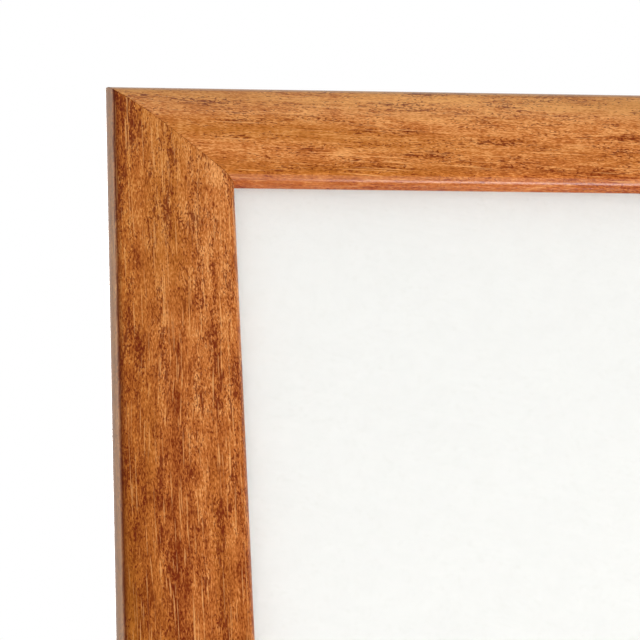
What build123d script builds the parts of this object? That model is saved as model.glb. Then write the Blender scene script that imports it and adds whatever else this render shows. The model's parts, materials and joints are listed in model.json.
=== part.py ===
from build123d import *
import math
import os

# A certificate frame: four mitred rails of crowned hardwood moulding hold a glass pane, a sheet, a filler and
# a backing board with an easel strut. It stands upright and faces -Y, with its origin in the middle of the
# bottom rail's outer side, half way through the moulding's depth. Sizes are millimetres and degrees.

# The pack: a letter sheet laid landscape between glass and boards of its own size
sheet_width = 279.4
sheet_height = 215.9
sheet_thickness = 0.2
glass_thickness = 2.0
glass_edge_ease = 0.3
filler_thickness = 5.0
board_thickness = 3.0
pack_clearance = 1.0  # room on each side between the pack and the rabbet's walls
board_recess = 0.3  # the board's back lies this far inside the rails' backs

# The moulding's section
moulding_width = 25.4
rabbet_width = 6.4
lip_height = 3.9  # from the crown down to the underside of the lip
crown_from_side = 12.5  # the crown's highest line, measured from the outer side
crown_outer_drop = 2.4
crown_inner_drop = 0.6
outer_round = 2.0
inner_round = 2.8
back_ease = 0.5
mitre_gap = 0.1

# V-nails that draw each mitre together, driven from the back
v_nail_leg = 4.5
v_nail_gauge = 0.5
v_nail_length = 10.0
v_nail_sink = 0.4
v_nails_per_corner = 2

# Turn buttons and their pivot screws
button_thickness = 1.2
button_base_radius = 5.5
button_tip_radius = 4.0
button_hold = 9.0  # how far a button reaches over the board
button_tip_lift = 1.0
button_tip_run = 4.0
button_gap = 0.1  # between a button and the rail, and between a button and its screw head
long_rail_button_spacing = 170.0
side_button_drop = 52.0  # the side buttons' distance below mid height
screw_radius = 1.6
screw_length = 10.0  # below the head
screw_point = 2.5
screw_tip_radius = 0.3
screw_head_radius = 3.4
screw_crown_radius = 2.4
screw_head_height = 2.2
screw_head_rim = 0.9
screw_slot_width = 0.9
screw_slot_span = 3.8
screw_slot_depth = 1.2

# Sawtooth hangers and their nails
hanger_length = 45.0
hanger_width = 9.0
hanger_gauge = 0.9
hanger_bridge = 26.0  # the raised stretch that carries the teeth
hanger_ramp = 3.0
hanger_lift = 2.2  # clear height under the bridge for a wall nail
hanger_bend_radius = 0.9
hanger_corner_radius = 2.0
tooth_pitch = 3.2
tooth_depth = 2.0
nail_radius = 0.8
nail_length = 8.5  # below the head
nail_point = 2.0
nail_tip_radius = 0.2
nail_head_radius = 2.0
nail_crown_radius = 1.4
nail_head_height = 0.8

# The easel: a strut on a butt hinge that is riveted to the board
open_angle = 30.0
hinge_from_top = 66.0  # the pin's distance below the top of the frame
foot_clearance = 4.0  # the folded foot stays this far above the frame's underside
strut_thickness = 3.0
strut_top_width = 62.0
strut_foot_width = 46.0
strut_top_corner = 4.0
strut_foot_corner = 8.0
hinge_width = 44.0
knuckle_middle_width = 15.0
knuckle_radius = 1.9
pin_radius = 1.0
pin_head_radius = 1.6
pin_head_length = 0.7
pin_head_ease = 0.3
leaf_gauge = 0.8
fixed_leaf_length = 24.0
moving_leaf_length = 26.0
leaf_corner_radius = 3.0
knuckle_clearance = 0.2  # from the knuckles to the board, the strut and each other
stop_clearance = 0.1  # left between the strut's heel and the fixed leaf at full swing
fixed_rivet_spacing = 28.0
moving_rivet_spacing = 22.0
rivet_setback = 15.0  # from the pin
rivet_radius = 1.4
rivet_head_radius = 3.0
rivet_crown_radius = 2.0
rivet_head_height = 1.0
rivet_head_rim = 0.3
rivet_tail_radius = 2.3
rivet_tail_height = 0.7

# Shared fits, and the flats that stand for a circle on the many small fasteners
shank_clearance = 0.05  # round screws, nails, rivets and the hinge pin
hole_end_clearance = 0.4
flats_per_fastener = 12

# The frame's main planes, worked out from the pack and the section
rabbet_depth = glass_thickness + sheet_thickness + filler_thickness + board_thickness + board_recess
moulding_depth = lip_height + rabbet_depth
back_width = moulding_width - rabbet_width
outer_width = sheet_width + 2 * (pack_clearance + back_width)
outer_height = sheet_height + 2 * (pack_clearance + back_width)
middle_height = outer_height / 2
hinge_height = outer_height - hinge_from_top
front_y = -moulding_depth / 2
back_y = moulding_depth / 2
board_back_y = back_y - board_recess
rail_centre = back_width / 2  # middle of a rail's flat back, from the outer side
outward = Vector(0, 1, 0)
across = Vector(1, 0, 0)

os.makedirs("parts", exist_ok=True)


def save(part, name):
    part.label = name
    export_step(part, f"parts/{name}.step")


# A plane on the back of the frame that looks outwards, with its local x axis along x_dir
def back_frame(x, z, x_dir, y=back_y):
    return Plane(origin=(x, y, z), x_dir=x_dir, z_dir=outward)


# A part is cut or copied at every one of these planes
def at_frames(frames):
    return Locations(*[frame.location for frame in frames])


# Inward directions of the four sides, and the frames that lie on their backs
inward = {
    "bottom": Vector(0, 0, 1),
    "right": Vector(-1, 0, 0),
    "top": Vector(0, 0, -1),
    "left": Vector(1, 0, 0),
}
side_middle = {
    "bottom": (0, 0),
    "right": (outer_width / 2, middle_height),
    "top": (0, outer_height),
    "left": (-outer_width / 2, middle_height),
}
side_length = {"bottom": outer_width, "right": outer_height, "top": outer_width, "left": outer_height}


# A plane on a rail's back, at its centre line and so far along it, with local x pointing inwards
def rail_back(side, x_shift=0.0, z_shift=0.0):
    x, z = side_middle[side]
    step = inward[side] * rail_centre
    return back_frame(x + step.X + x_shift, z + step.Z + z_shift, inward[side])


button_frames = {
    "turn_button_top_left": rail_back("top", x_shift=-long_rail_button_spacing / 2),
    "turn_button_top_right": rail_back("top", x_shift=long_rail_button_spacing / 2),
    "turn_button_bottom_left": rail_back("bottom", x_shift=-long_rail_button_spacing / 2),
    "turn_button_bottom_right": rail_back("bottom", x_shift=long_rail_button_spacing / 2),
    "turn_button_left": rail_back("left", z_shift=-side_button_drop),
    "turn_button_right": rail_back("right", z_shift=-side_button_drop),
}
hanger_frames = {"sawtooth_hanger_top": rail_back("top"), "sawtooth_hanger_side": rail_back("left")}

# Hanger nails sit in the middle of the flat tabs, on the hanger's long axis, which is the frame's local y
hanger_tab = (hanger_length - hanger_bridge) / 2 - hanger_ramp
nail_offset = (hanger_length - hanger_tab) / 2
hanger_nail_frames = [
    Plane(frame.from_local_coords(Vector(0, end * nail_offset, hanger_gauge)), frame.x_dir, outward)
    for frame in hanger_frames.values()
    for end in (-1, 1)
]

# V-nail places: evenly along each mitre, from the outer corner towards the rabbet
v_nail_step = back_width / (v_nails_per_corner + 1)
corner_frames = [
    back_frame(-outer_width / 2, 0, inward["bottom"]),
    back_frame(outer_width / 2, 0, inward["right"]),
    back_frame(outer_width / 2, outer_height, inward["top"]),
    back_frame(-outer_width / 2, outer_height, inward["left"]),
]
v_nail_frames = [
    Plane(frame.from_local_coords(Vector(row * v_nail_step, row * v_nail_step, 0)), frame.x_dir, outward)
    for frame in corner_frames
    for row in range(1, v_nails_per_corner + 1)
]

# One V-nail, and the slot it leaves: an angle section whose apex is on the mitre and whose legs point to the
# outer corner
with BuildSketch() as v_outline:
    with BuildLine():
        Polyline(
            (0, 0),
            (-v_nail_leg, 0),
            (-v_nail_leg, -v_nail_gauge),
            (-v_nail_gauge, -v_nail_gauge),
            (-v_nail_gauge, -v_nail_leg),
            (0, -v_nail_leg),
            close=True,
        )
    make_face()

with BuildPart() as v_slot:
    with BuildSketch():
        add(v_outline.sketch)
    extrude(amount=-v_nail_sink - v_nail_length)

with BuildPart() as v_nail:
    with BuildSketch(Plane.XY.offset(-v_nail_sink)):
        add(v_outline.sketch)
    extrude(amount=-v_nail_length)

with BuildPart() as corner_v_nails:
    with at_frames(v_nail_frames):
        add(v_nail.part)
save(corner_v_nails.part, "corner_v_nails")

# The moulding's section: local x runs from the outer side inwards, local y from the back to the front
with BuildSketch() as moulding:
    with BuildLine():
        back_outer = (0, 0)
        side_top = (0, moulding_depth - crown_outer_drop)
        crown = (crown_from_side, moulding_depth)
        lip_top = (moulding_width, moulding_depth - crown_inner_drop)
        lip_edge = (moulding_width, rabbet_depth)
        Line(back_outer, side_top)
        TangentArc(crown, side_top, tangent=(-1, 0))
        TangentArc(crown, lip_top, tangent=(1, 0))
        Polyline(lip_top, lip_edge, (back_width, rabbet_depth), (back_width, 0), back_outer)
    make_face()
    outer_corners = moulding.vertices().group_by(Axis.X)[0].sort_by(Axis.Y)
    inner_corners = moulding.vertices().group_by(Axis.X)[-1].sort_by(Axis.Y)
    fillet(outer_corners[-1], outer_round)
    fillet(inner_corners[-1], inner_round)
    chamfer(moulding.vertices().group_by(Axis.Y)[0].sort_by(Axis.X)[0], back_ease)

# The four rails: the section run along each side, mitred, slotted for V-nails, drilled for screws and nails
for side, length in side_length.items():
    x, z = side_middle[side]
    along = inward[side].cross(-outward)
    section = Plane(origin=(x, back_y, z), x_dir=inward[side], z_dir=along)
    with BuildPart() as rail:
        with BuildSketch(section):
            add(moulding.sketch)
        extrude(amount=length / 2, both=True)
        for end in (-1, 1):
            corner = section.origin + along * end * (length / 2 - mitre_gap / math.sqrt(2))
            split(bisect_by=Plane(origin=corner, z_dir=inward[side] + along * end), keep=Keep.BOTTOM)
        with at_frames(v_nail_frames):
            add(v_slot.part, mode=Mode.SUBTRACT)
        with at_frames(button_frames.values()):
            Hole(screw_radius + shank_clearance, screw_length + hole_end_clearance - button_thickness)
        with at_frames(hanger_nail_frames):
            Hole(nail_radius + shank_clearance, nail_length + hole_end_clearance)
    save(rail.part, f"{side}_rail")


# The pack's layers, each laid against the one in front of it, from the lip to the board
glass_y = front_y + lip_height
sheet_y = glass_y + glass_thickness
filler_y = sheet_y + sheet_thickness
board_y = filler_y + filler_thickness

with BuildPart() as glass_pane:
    with BuildSketch(back_frame(0, middle_height, across, glass_y)):
        Rectangle(sheet_width, sheet_height)
    extrude(amount=glass_thickness)
    chamfer(glass_pane.edges().filter_by(Axis.Y, reverse=True), glass_edge_ease)
save(glass_pane.part, "glass_pane")

with BuildPart() as certificate_sheet:
    with BuildSketch(back_frame(0, middle_height, across, sheet_y)):
        Rectangle(sheet_width, sheet_height)
    extrude(amount=sheet_thickness)
save(certificate_sheet.part, "certificate_sheet")

with BuildPart() as foam_filler:
    with BuildSketch(back_frame(0, middle_height, across, filler_y)):
        Rectangle(sheet_width, sheet_height)
    extrude(amount=filler_thickness)
save(foam_filler.part, "foam_filler")

# Where the easel's hinge pin runs: the knuckles just clear the board, and the strut just clears the knuckles
standoff = knuckle_radius + knuckle_clearance
pin_y = board_back_y + standoff
strut_y = pin_y + standoff
rivet_hole_radius = rivet_radius + shank_clearance


# A row of two rivets across the hinge, at a height and with their heads seated at y
def rivet_row(spacing, z, y):
    return [back_frame(end * spacing / 2, z, across, y) for end in (-1, 1)]


fixed_rivet_z = hinge_height + rivet_setback
fixed_rivet_frames = rivet_row(fixed_rivet_spacing, fixed_rivet_z, board_back_y + leaf_gauge)
moving_rivet_z = hinge_height - rivet_setback
moving_rivet_frames = rivet_row(moving_rivet_spacing, moving_rivet_z, strut_y + strut_thickness)

# The backing board; the fixed leaf's rivet holes are counterbored from the front, so their tails lie flush
with BuildPart() as backing_board:
    with BuildSketch(back_frame(0, middle_height, across, board_y)):
        Rectangle(sheet_width, sheet_height)
    extrude(amount=board_thickness)
    tail_frames = rivet_row(fixed_rivet_spacing, fixed_rivet_z, board_y)
    with at_frames([Plane(frame.origin, z_dir=-outward) for frame in tail_frames]):
        CounterBoreHole(rivet_hole_radius, rivet_tail_radius + shank_clearance, rivet_tail_height)
save(backing_board.part, "backing_board")

# One turn button, lying on its rail with its tongue along local x: a bent strip cut to a tapered outline
button_reach = rail_centre + pack_clearance + button_hold
with BuildPart() as turn_button:
    with BuildSketch(Plane.XZ):
        with BuildLine():
            bend = button_reach - button_tip_run
            Polyline(
                (-button_base_radius, button_gap),
                (bend, button_gap),
                (button_reach, button_gap + button_tip_lift),
                (button_reach, button_gap + button_tip_lift + button_thickness),
                (bend, button_gap + button_thickness),
                (-button_base_radius, button_gap + button_thickness),
                close=True,
            )
        make_face()
    extrude(amount=button_base_radius, both=True)
    with BuildSketch():
        Circle(button_base_radius)
        with Locations((button_reach - button_tip_radius, 0)):
            Circle(button_tip_radius)
        make_hull()
    extrude(amount=button_gap + button_tip_lift + button_thickness, mode=Mode.INTERSECT)
    Hole(screw_radius + shank_clearance)

for name, frame in button_frames.items():
    with BuildPart() as placed_button:
        with at_frames([frame]):
            add(turn_button.part)
    save(placed_button.part, name)


# A fastener's shape round local z, from rings of (height, radius) joined in order
def fastener(rings):
    with BuildPart() as shape:
        for (low, low_radius), (high, high_radius) in zip(rings, rings[1:]):
            if high > low:
                with BuildSketch(Plane.XY.offset(low)):
                    RegularPolygon(low_radius, flats_per_fastener)
                with BuildSketch(Plane.XY.offset(high)):
                    RegularPolygon(high_radius, flats_per_fastener)
                loft(ruled=True)
    return shape.part


# One pivot screw: a pan head with a cross slot, a shank and a point
head_seat = button_thickness + 2 * button_gap
screw_rings = (
    (head_seat - screw_length, screw_tip_radius),
    (head_seat - screw_length + screw_point, screw_radius),
    (head_seat, screw_radius),
    (head_seat, screw_head_radius),
    (head_seat + screw_head_rim, screw_head_radius),
    (head_seat + screw_head_height, screw_crown_radius),
)
with BuildPart() as pivot_screw:
    add(fastener(screw_rings))
    with BuildSketch(Plane.XY.offset(head_seat + screw_head_height)):
        Rectangle(screw_slot_span, screw_slot_width)
        Rectangle(screw_slot_width, screw_slot_span)
    extrude(amount=-screw_slot_depth, mode=Mode.SUBTRACT)

with BuildPart() as turn_button_screws:
    with at_frames(button_frames.values()):
        add(pivot_screw.part)
save(turn_button_screws.part, "turn_button_screws")

# One sawtooth hanger: a strip along local y whose raised bridge has teeth on the edge that faces inwards
with BuildPart() as sawtooth_hanger:
    with BuildSketch(Plane.YZ):
        with BuildLine():
            mid_gauge = hanger_gauge / 2
            FilletPolyline(
                (-hanger_length / 2, mid_gauge),
                (-hanger_bridge / 2 - hanger_ramp, mid_gauge),
                (-hanger_bridge / 2, mid_gauge + hanger_lift),
                (hanger_bridge / 2, mid_gauge + hanger_lift),
                (hanger_bridge / 2 + hanger_ramp, mid_gauge),
                (hanger_length / 2, mid_gauge),
                radius=hanger_bend_radius,
            )
        trace(line_width=hanger_gauge)
    extrude(amount=hanger_width / 2, both=True)
    fillet(sawtooth_hanger.edges().filter_by(Axis.Z), hanger_corner_radius)
    tooth_count = int((hanger_bridge - 2 * hanger_bend_radius) / tooth_pitch)
    with BuildSketch(Plane.XY.offset(hanger_lift - hanger_gauge)):
        with GridLocations(0, tooth_pitch, 1, tooth_count):
            Polygon(
                (hanger_width / 2, -tooth_pitch / 2),
                (hanger_width / 2 - tooth_depth, 0),
                (hanger_width / 2, tooth_pitch / 2),
                align=None,
            )
    extrude(amount=3 * hanger_gauge, mode=Mode.SUBTRACT)
    with GridLocations(0, 2 * nail_offset, 1, 2):
        Hole(nail_radius + shank_clearance)

for name, frame in hanger_frames.items():
    with BuildPart() as placed_hanger:
        with at_frames([frame]):
            add(sawtooth_hanger.part)
    save(placed_hanger.part, name)

# Hanger nails: a head with a bevelled rim, a shank and a point
nail_rings = (
    (-nail_length, nail_tip_radius),
    (nail_point - nail_length, nail_radius),
    (0, nail_radius),
    (0, nail_head_radius),
    (nail_head_height, nail_crown_radius),
)
hanger_nail = fastener(nail_rings)
with BuildPart() as hanger_nails:
    with at_frames(hanger_nail_frames):
        add(hanger_nail)
save(hanger_nails.part, "hanger_nails")

# The hinge is drawn across its pin: local x is away from the board, local y is up
hinge_section = Plane(origin=(0, pin_y, hinge_height), x_dir=outward, z_dir=(1, 0, 0))
leaf_start = knuckle_radius + knuckle_clearance
outer_knuckle_width = (hinge_width - knuckle_middle_width) / 2 - knuckle_clearance
outer_knuckle_x = (knuckle_middle_width + outer_knuckle_width) / 2 + knuckle_clearance


# A hinge leaf: a flat with rounded far corners and rivet holes, which rises from the pin for up = 1 or hangs
# from it for up = -1, and the knuckles rolled on to its near edge. leaf_x is the middle of its gauge.
def hinge_leaf(name, length, leaf_x, up, rivet_frames, knuckle_centres, knuckle_width):
    with BuildPart() as leaf:
        with BuildSketch(hinge_section):
            with Locations((leaf_x, up * (leaf_start + length) / 2)):
                Rectangle(leaf_gauge, length - leaf_start)
        extrude(amount=hinge_width / 2, both=True)
        corners_by_height = leaf.edges().filter_by(Axis.Y).group_by(Axis.Z)
        fillet(corners_by_height[-1 if up > 0 else 0], leaf_corner_radius)
        for centre in knuckle_centres:
            with BuildSketch(hinge_section.offset(centre)):
                Circle(knuckle_radius)
                with Locations((leaf_x, up * leaf_start / 2)):
                    Rectangle(leaf_gauge, leaf_start)
                Circle(pin_radius + shank_clearance, mode=Mode.SUBTRACT)
            extrude(amount=knuckle_width / 2, both=True)
        with at_frames(rivet_frames):
            Hole(rivet_hole_radius)
    save(leaf.part, name)


hinge_leaf(
    "easel_hinge_fixed_leaf",
    fixed_leaf_length,
    leaf_gauge / 2 - standoff,
    1,
    fixed_rivet_frames,
    (-outer_knuckle_x, outer_knuckle_x),
    outer_knuckle_width,
)
hinge_leaf(
    "easel_hinge_moving_leaf",
    moving_leaf_length,
    standoff - leaf_gauge / 2,
    -1,
    moving_rivet_frames,
    (0,),
    knuckle_middle_width,
)

# The hinge pin, headed over outside the outer knuckles
pin_span = hinge_width + 2 * shank_clearance
with BuildPart() as hinge_pin:
    with BuildSketch(hinge_section):
        Circle(pin_radius)
    extrude(amount=pin_span / 2, both=True)
    for end in (-1, 1):
        with BuildSketch(hinge_section.offset(end * pin_span / 2)):
            Circle(pin_head_radius)
        extrude(amount=end * pin_head_length)
    rims = hinge_pin.edges().group_by(Axis.X)
    chamfer(rims[0] + rims[-1], pin_head_ease)
save(hinge_pin.part, "easel_hinge_pin")


# A rivet: a bevelled head on local z = 0, a shank of the given grip and a flat clinched tail
def rivets(name, frames, grip):
    rings = (
        (-grip - rivet_tail_height, rivet_tail_radius),
        (-grip, rivet_tail_radius),
        (-grip, rivet_radius),
        (0, rivet_radius),
        (0, rivet_head_radius),
        (rivet_head_rim, rivet_head_radius),
        (rivet_head_height, rivet_crown_radius),
    )
    rivet = fastener(rings)
    with BuildPart() as group:
        with at_frames(frames):
            add(rivet)
    save(group.part, name)


rivets("fixed_leaf_rivets", fixed_rivet_frames, leaf_gauge + board_thickness - rivet_tail_height)
rivets("moving_leaf_rivets", moving_rivet_frames, leaf_gauge + strut_thickness)

# The strut: a tapered board whose heel runs up past the pin, just far enough to meet the fixed leaf at full
# swing
swing = math.radians(open_angle)
heel = (standoff * math.cos(swing) + standoff - leaf_gauge - stop_clearance) / math.sin(swing)
strut_reach = hinge_height - foot_clearance

# How far the frame leans back on its open strut, which sets the slant of the strut's foot
strut_back = standoff + strut_thickness
foot_back = pin_y + strut_back * math.cos(swing) + strut_reach * math.sin(swing) - back_y
foot_rise = hinge_height + strut_back * math.sin(swing) - strut_reach * math.cos(swing)
lean_angle = math.degrees(math.atan2(foot_rise, foot_back))
foot_slant = open_angle - lean_angle

with BuildPart() as easel_strut:
    with BuildSketch(Plane(origin=(0, strut_y, hinge_height), x_dir=(-1, 0, 0), z_dir=outward)):
        with BuildLine():
            Polyline(
                (-strut_top_width / 2, heel),
                (strut_top_width / 2, heel),
                (strut_foot_width / 2, -strut_reach),
                (-strut_foot_width / 2, -strut_reach),
                close=True,
            )
        make_face()
    extrude(amount=strut_thickness)
    upright_edges = easel_strut.edges().filter_by(Axis.Y).group_by(Axis.Z)
    fillet(upright_edges[0], strut_foot_corner)
    fillet(upright_edges[-1], strut_top_corner)
    foot_edge = (0, strut_y + strut_thickness, hinge_height - strut_reach)
    sole = Plane(origin=foot_edge, z_dir=Vector(0, 0, 1).rotate(Axis.X, -foot_slant))
    split(bisect_by=sole, keep=Keep.TOP)
    with at_frames(moving_rivet_frames):
        Hole(rivet_hole_radius)
save(easel_strut.part, "easel_strut")

print(f"outer size {outer_width:.1f} x {outer_height:.1f} x {moulding_depth:.1f} mm")
print(f"heel {heel:.2f} mm above the pin, lean {lean_angle:.1f} degrees, foot slant {foot_slant:.1f} degrees")
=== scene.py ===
import bmesh
import bpy
import json
import math
from mathutils import Matrix, Vector


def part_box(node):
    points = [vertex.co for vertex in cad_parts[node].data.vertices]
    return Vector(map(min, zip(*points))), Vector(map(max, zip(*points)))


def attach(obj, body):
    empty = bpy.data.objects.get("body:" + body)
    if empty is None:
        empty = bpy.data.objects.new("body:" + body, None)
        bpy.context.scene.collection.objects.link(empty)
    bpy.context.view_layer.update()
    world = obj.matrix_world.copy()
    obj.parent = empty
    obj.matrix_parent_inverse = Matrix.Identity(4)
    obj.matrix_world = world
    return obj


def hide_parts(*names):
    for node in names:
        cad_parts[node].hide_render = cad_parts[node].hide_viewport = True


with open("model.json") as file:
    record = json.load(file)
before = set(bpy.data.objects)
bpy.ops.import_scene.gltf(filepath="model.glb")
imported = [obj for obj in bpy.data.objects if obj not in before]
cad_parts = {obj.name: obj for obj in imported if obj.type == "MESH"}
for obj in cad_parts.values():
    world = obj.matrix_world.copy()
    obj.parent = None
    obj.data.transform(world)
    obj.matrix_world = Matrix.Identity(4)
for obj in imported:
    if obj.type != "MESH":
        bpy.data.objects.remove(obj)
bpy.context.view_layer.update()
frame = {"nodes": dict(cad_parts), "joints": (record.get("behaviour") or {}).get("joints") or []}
nodes = frame["nodes"]
pivots = {joint["child"]: Vector(joint["pos_m"]) for joint in frame["joints"]}
mm = 0.001
print("frame loaded with", len(nodes), "nodes")


# sRGB hex to the linear colour that shaders take
def linear(hexColour):
    channels = [int(hexColour[i:i + 2], 16) / 255 for i in (1, 3, 5)]
    return [c / 12.92 if c <= 0.04045 else ((c + 0.055) / 1.055) ** 2.4 for c in channels] + [1.0]


# Adds a node: settings are its properties, with stops for a ramp, and inputs are values or sockets to link
def addNode(tree, kind, settings=None, inputs=None):
    made = tree.nodes.new(kind)
    for name, value in (settings or {}).items():
        if name == "stops":
            while len(made.color_ramp.elements) < len(value):
                made.color_ramp.elements.new(1.0)
            for element, (position, shade) in zip(made.color_ramp.elements, value):
                element.position = position
                element.color = shade
        else:
            setattr(made, name, value)
    for key, value in (inputs or {}).items():
        if isinstance(value, bpy.types.NodeSocket):
            tree.links.new(value, made.inputs[key])
        else:
            made.inputs[key].default_value = value
    return made


# An empty material and its node tree
def newMaterial(name):
    material = bpy.data.materials.new(name)
    material.use_nodes = True
    material.node_tree.nodes.clear()
    return material, material.node_tree


# Shorter ways to the nodes used most, each giving the socket of its result
def calc(tree, operation, *values):
    return addNode(tree, "ShaderNodeMath", {"operation": operation}, dict(enumerate(values))).outputs[0]


def calcVector(tree, operation, *values):
    made = addNode(tree, "ShaderNodeVectorMath", {"operation": operation}, dict(enumerate(values)))
    return made.outputs["Value" if operation in ("LENGTH", "DOT_PRODUCT") else "Vector"]


def remap(tree, value, start, end, low, high):
    inputs = {0: value, 1: start, 2: end, 3: low, 4: high}
    return addNode(tree, "ShaderNodeMapRange", None, inputs).outputs[0]


def ramp(tree, value, stops):
    return addNode(tree, "ShaderNodeValToRGB", {"stops": stops}, {"Fac": value}).outputs["Color"]


def mixColours(tree, share, first, second, blend="MIX"):
    settings = {"data_type": "RGBA", "blend_type": blend}
    return addNode(tree, "ShaderNodeMix", settings, {0: share, 6: first, 7: second}).outputs[2]


def mixValues(tree, share, first, second):
    return addNode(tree, "ShaderNodeMix", {"data_type": "FLOAT"}, {0: share, 2: first, 3: second}).outputs[0]


def mixShaders(tree, share, first, second):
    return addNode(tree, "ShaderNodeMixShader", None, {0: share, 1: first, 2: second}).outputs[0]


def bumpNormal(tree, height, relief, strength):
    inputs = {"Strength": strength, "Distance": relief * mm, "Height": height}
    return addNode(tree, "ShaderNodeBump", None, inputs).outputs[0]


def principled(tree, inputs):
    return addNode(tree, "ShaderNodeBsdfPrincipled", None, inputs).outputs[0]


# The last node of a material
def setSurface(tree, surface):
    addNode(tree, "ShaderNodeOutputMaterial", None, {"Surface": surface})


patternShift = (7.3, 3.1, 5.7)  # moves each pattern of a material away from the one before it


# A material's noises: each pattern's size is how many millimetres its lumps measure along x, y and z
def layPatterns(tree, place, patterns):
    fields = {}
    for seed, (name, pattern) in enumerate(patterns.items()):
        closeness = [1 / (size * mm) for size in pattern["size"]]
        shift = [seed * step for step in patternShift]
        inputs = {
            "Vector": calcVector(tree, "MULTIPLY_ADD", place, closeness, shift),
            "Scale": 1.0,
            "Detail": pattern["detail"],
            "Roughness": pattern.get("rough", 0.5),
        }
        fields[name] = addNode(tree, "ShaderNodeTexNoise", None, inputs).outputs["Fac"]
    return fields


# Stained hardwood, planed, moulded and sprayed with satin lacquer: open pores and streaks hold the stain
# darker, cut fibres flash lighter, and a clear film lies over all of it
hardwoodLook = {
    "pale": "#f0aa66",
    "mid": "#c06e30",
    "deep": "#782c02",
    "pore": "#6a1c00",
    "arris": "#561a00",
    # painted shade on the lip, which the low lamps light more than the face
    "lip": "#8a3a1e",
    "hairline": "#f0ac68",
    "olive": "#b97522",
    "golden": "#fffde0",
    # a painted grey sheen on the outer side: the white room as the lacquer mirrors it at a grazing angle
    "side": "#c2a892",
    "bare": "#c39a6b",
    "stainStops": ((0.0, "pale"), (0.5, "mid"), (1.0, "deep")),
    "wander": 3.0,
    "drift": {"size": (55, 30, 30), "detail": 1.0},
    # the dark line inside the outer arris: its scale and raggedness in millimetres, and its depth across it
    "arrisWidth": 5.0,
    "arrisRagged": 0.9,
    "arrisProfile": ((0.32, 0.0), (0.42, 0.9), (0.48, 0.55), (0.64, 0.0)),
    "crowdByDepth": -0.06,
    "poreDip": -0.8,
    "relief": 0.05,
    "reliefStrength": 0.25,
    "ior": 1.5,
    "specular": 0.06,
    "lacquerRoughness": 0.14,
    "lacquerIor": 1.5,
    "lacquerCover": 0.45,
    # from where to where something changes, and between which amounts: in from the outer side, up from the
    # back, or over the values of a pattern
    "ranges": {
        "golden": (3 * mm, 11 * mm, 1.0, 0.0),
        # where the outer side's painted sheen fades out
        "side": (1.1 * mm, 1.8 * mm, 0.65, 0.0),
        # where the lip's painted shade comes in
        "lip": (23.8 * mm, 24.8 * mm, 0.0, 1.0),
        "bare": (0.15 * mm, 0.6 * mm, 0.75, 0.0),
        "olive": (0.45, 0.7, 0.0, 0.4),
        "crowd": (0.3, 0.72, 0.7, 0.47),
        "streaks": (0.0, 0.1, 0.0, 0.8),
        "specks": (0.0, 0.1, 0.0, 0.87),
        "hairline": (0.63, 0.7, 0.0, 0.6),
        "roughness": (0.3, 0.7, 0.39, 0.53),
    },
    # pores and hairlines are drawn somewhat wider than real ones, so that they show
    "patterns": {
        "bands": {"size": (120, 4.2, 4.2), "detail": 2.0},
        "blotches": {"size": (7.5, 2.2, 2.2), "detail": 3.0, "rough": 0.6},
        "density": {"size": (14, 2.6, 2.6), "detail": 2.0},
        "pores": {"size": (0.8, 0.22, 0.22), "detail": 1.0},
        "specks": {"size": (0.7, 0.3, 0.3), "detail": 1.0},
        "streaks": {"size": (2.0, 0.4, 0.4), "detail": 2.0},
        "hairlines": {"size": (16.0, 0.3, 0.3), "detail": 1.0},
        "fibres": {"size": (6.0, 0.5, 0.5), "detail": 3.0, "rough": 0.6},
        "figure": {"size": (2.2, 14.0, 14.0), "detail": 2.0},
        "hue": {"size": (70, 9.0, 9.0), "detail": 1.0},
    },
    "stainHeld": {
        "bands": 0.8,
        "blotches": 0.85,
        "fibres": 0.7,
        "figure": 0.3,
        "pores": 1.3,
    },
}
# what differs from rail to rail, kept on the rails themselves
railTraits = ("grainShift", "grainSlope", "stainDepth", "stainLean", "arrisStain", "lipStain")


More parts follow.
